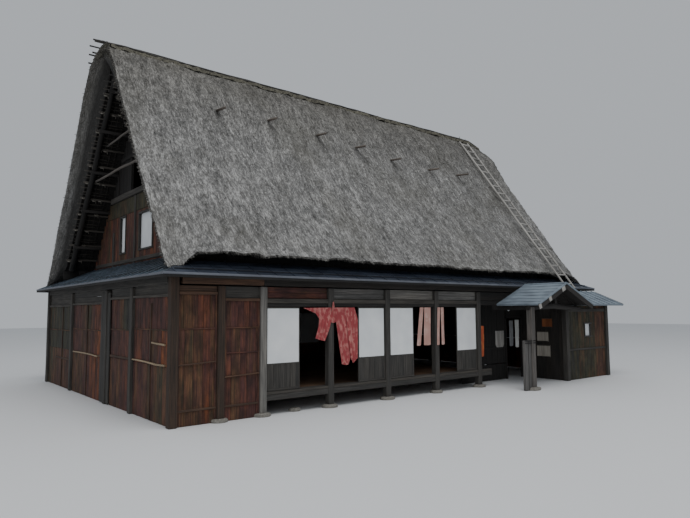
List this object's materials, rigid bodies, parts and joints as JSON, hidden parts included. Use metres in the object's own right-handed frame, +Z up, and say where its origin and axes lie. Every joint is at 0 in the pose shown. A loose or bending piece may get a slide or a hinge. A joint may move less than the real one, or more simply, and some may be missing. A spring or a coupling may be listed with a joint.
{
  "type": "minka farmhouse",
  "caption": "Traditional farmhouse with a steep thatched roof over an attic, boarded walls, metal pent roofs, sliding paper panels and a gabled entrance porch",
  "frame": {"origin": "Centre of the bounding box in plan, at the lowest ground level that the walls and posts run down to.", "axes": "+X along the long front to the porch end, +Y from the front wall to the back wall, +Z up."},
  "size_m": [15.74, 12.22, 9.4503],
  "materials": {
    "thatch": "weathered grey cut reed thatch, matt, stands in for reed",
    "old_wood": "weathered grey brown unpainted timber",
    "red_boards": "weathered reddish brown boards with grey timbers",
    "dark_wood": "smoke dark timber and boards",
    "floor_boards": "brown worn floorboards",
    "paper": "white screen paper on wooden frames",
    "sheet_metal": "blue grey weathered roofing sheet",
    "red_cloth": "red patterned cotton door curtain",
    "pink_cloth": "pale pink cotton door curtain",
    "white_cloth": "off white cotton",
    "orange_cloth": "orange red cloth banner"
  },
  "bodies": {
    "house": {"thatch_front": "thatch", "thatch_back": "thatch", "ridge_cap": "thatch", "post_b": "old_wood", "post_c": "old_wood", "post_d": "old_wood", "post_e": "old_wood", "post_f": "old_wood", "sill_front": "old_wood", "head_front": "old_wood", "porch_bargeboard": "old_wood", "porch_frame": "old_wood", "ladder": "old_wood", "wall_front_left": "red_boards", "wall_gable_left": "red_boards", "wall_gable_right": "red_boards", "wall_back": "red_boards", "gable_upper_left": "red_boards", "gable_upper_right": "red_boards", "rafters_front": "dark_wood", "rafters_back": "dark_wood", "wall_recess_left": "dark_wood", "wall_recess_back": "dark_wood", "wall_annex_left": "dark_wood", "wall_annex_front": "dark_wood", "floor_deck": "floor_boards", "attic_floor": "floor_boards", "paper_back": "paper", "paper_gable_left": "paper", "paper_gable_right": "paper", "paper_annex": "paper", "pent_front": "sheet_metal", "pent_back": "sheet_metal", "pent_left": "sheet_metal", "pent_right": "sheet_metal", "porch_roof": "sheet_metal", "annex_roof": "sheet_metal", "noren_red": "red_cloth", "noren_pink_left": "pink_cloth", "noren_pink_right": "pink_cloth", "door_cloth": "white_cloth", "banner": "orange_cloth"},
    "panel_b_body": {"panel_b": "paper"},
    "panel_c_body": {"panel_c": "paper"},
    "panel_d_body": {"panel_d": "paper"},
    "panel_e_body": {"panel_e": "paper"}
  },
  "joints": [
    {"name": "panel_b_slide", "type": "slide", "parent": "house", "child": "panel_b_body", "axis": [1, 0, 0], "range_m": [0, 0.77]},
    {"name": "panel_c_slide", "type": "slide", "parent": "house", "child": "panel_c_body", "axis": [-1, 0, 0], "range_m": [0, 0.77]},
    {"name": "panel_d_slide", "type": "slide", "parent": "house", "child": "panel_d_body", "axis": [1, 0, 0], "range_m": [0, 0.77]},
    {"name": "panel_e_slide", "type": "slide", "parent": "house", "child": "panel_e_body", "axis": [-1, 0, 0], "range_m": [0, 0.77]}
  ]
}
